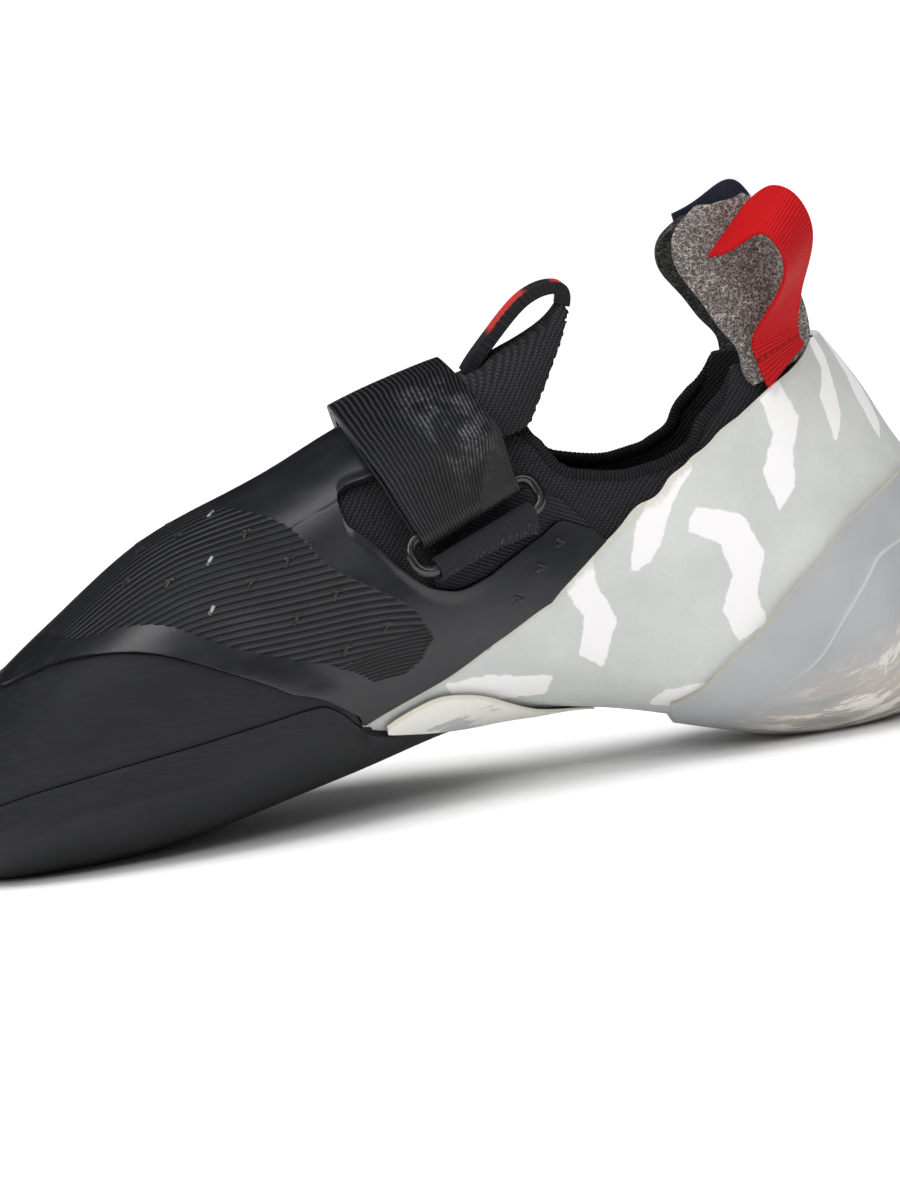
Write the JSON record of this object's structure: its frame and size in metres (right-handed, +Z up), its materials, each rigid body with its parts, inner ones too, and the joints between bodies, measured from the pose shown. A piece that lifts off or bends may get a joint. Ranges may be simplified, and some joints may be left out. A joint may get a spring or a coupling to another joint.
{
  "type": "climbing shoe",
  "caption": "Low-cut rubber and knit climbing shoe for the right foot, with a moulded toe patch, one strap through an oval ring, and finger loops at tongue and heel.",
  "frame": {"origin": "on the floor, under the middle of the heel, on the heel's flat spot", "axes": "+X from the toe towards the heel, +Y towards the lateral side, +Z up, the shoe standing on its sole"},
  "size_m": [0.2543, 0.0946, 0.1334],
  "materials": {
    "outsole": "matt, faintly scuffed",
    "toe_rand": "matt",
    "forefoot_patch": "satin, moulded ribs",
    "heel_rand": "satin, printed with a broken two-tone pattern",
    "arch_band": "satin",
    "heel_patch": "satin, scuffed",
    "upper": "knit",
    "insole": "non-woven board",
    "tongue": "knit",
    "tongue_loop": "woven tape",
    "strap": "ribbed, satin",
    "strap_ring": "gloss black",
    "ring_keeper": "twill tape",
    "heel_tab_medial": "brushed felt",
    "heel_tab_lateral": "brushed felt",
    "pull_loop_medial": "ribbed ribbon",
    "pull_loop_lateral": "ribbed ribbon"
  },
  "bodies": {
    "root": {"outsole": "outsole", "toe_rand": "toe_rand", "forefoot_patch": "forefoot_patch", "heel_rand": "heel_rand", "arch_band": "arch_band", "heel_patch": "heel_patch", "upper": "upper", "insole": "insole", "tongue": "tongue", "tongue_loop": "tongue_loop", "strap": "strap", "strap_ring": "strap_ring", "ring_keeper": "ring_keeper", "heel_tab_medial": "heel_tab_medial", "heel_tab_lateral": "heel_tab_lateral", "pull_loop_medial": "pull_loop_medial", "pull_loop_lateral": "pull_loop_lateral"}
  },
  "joints": []
}
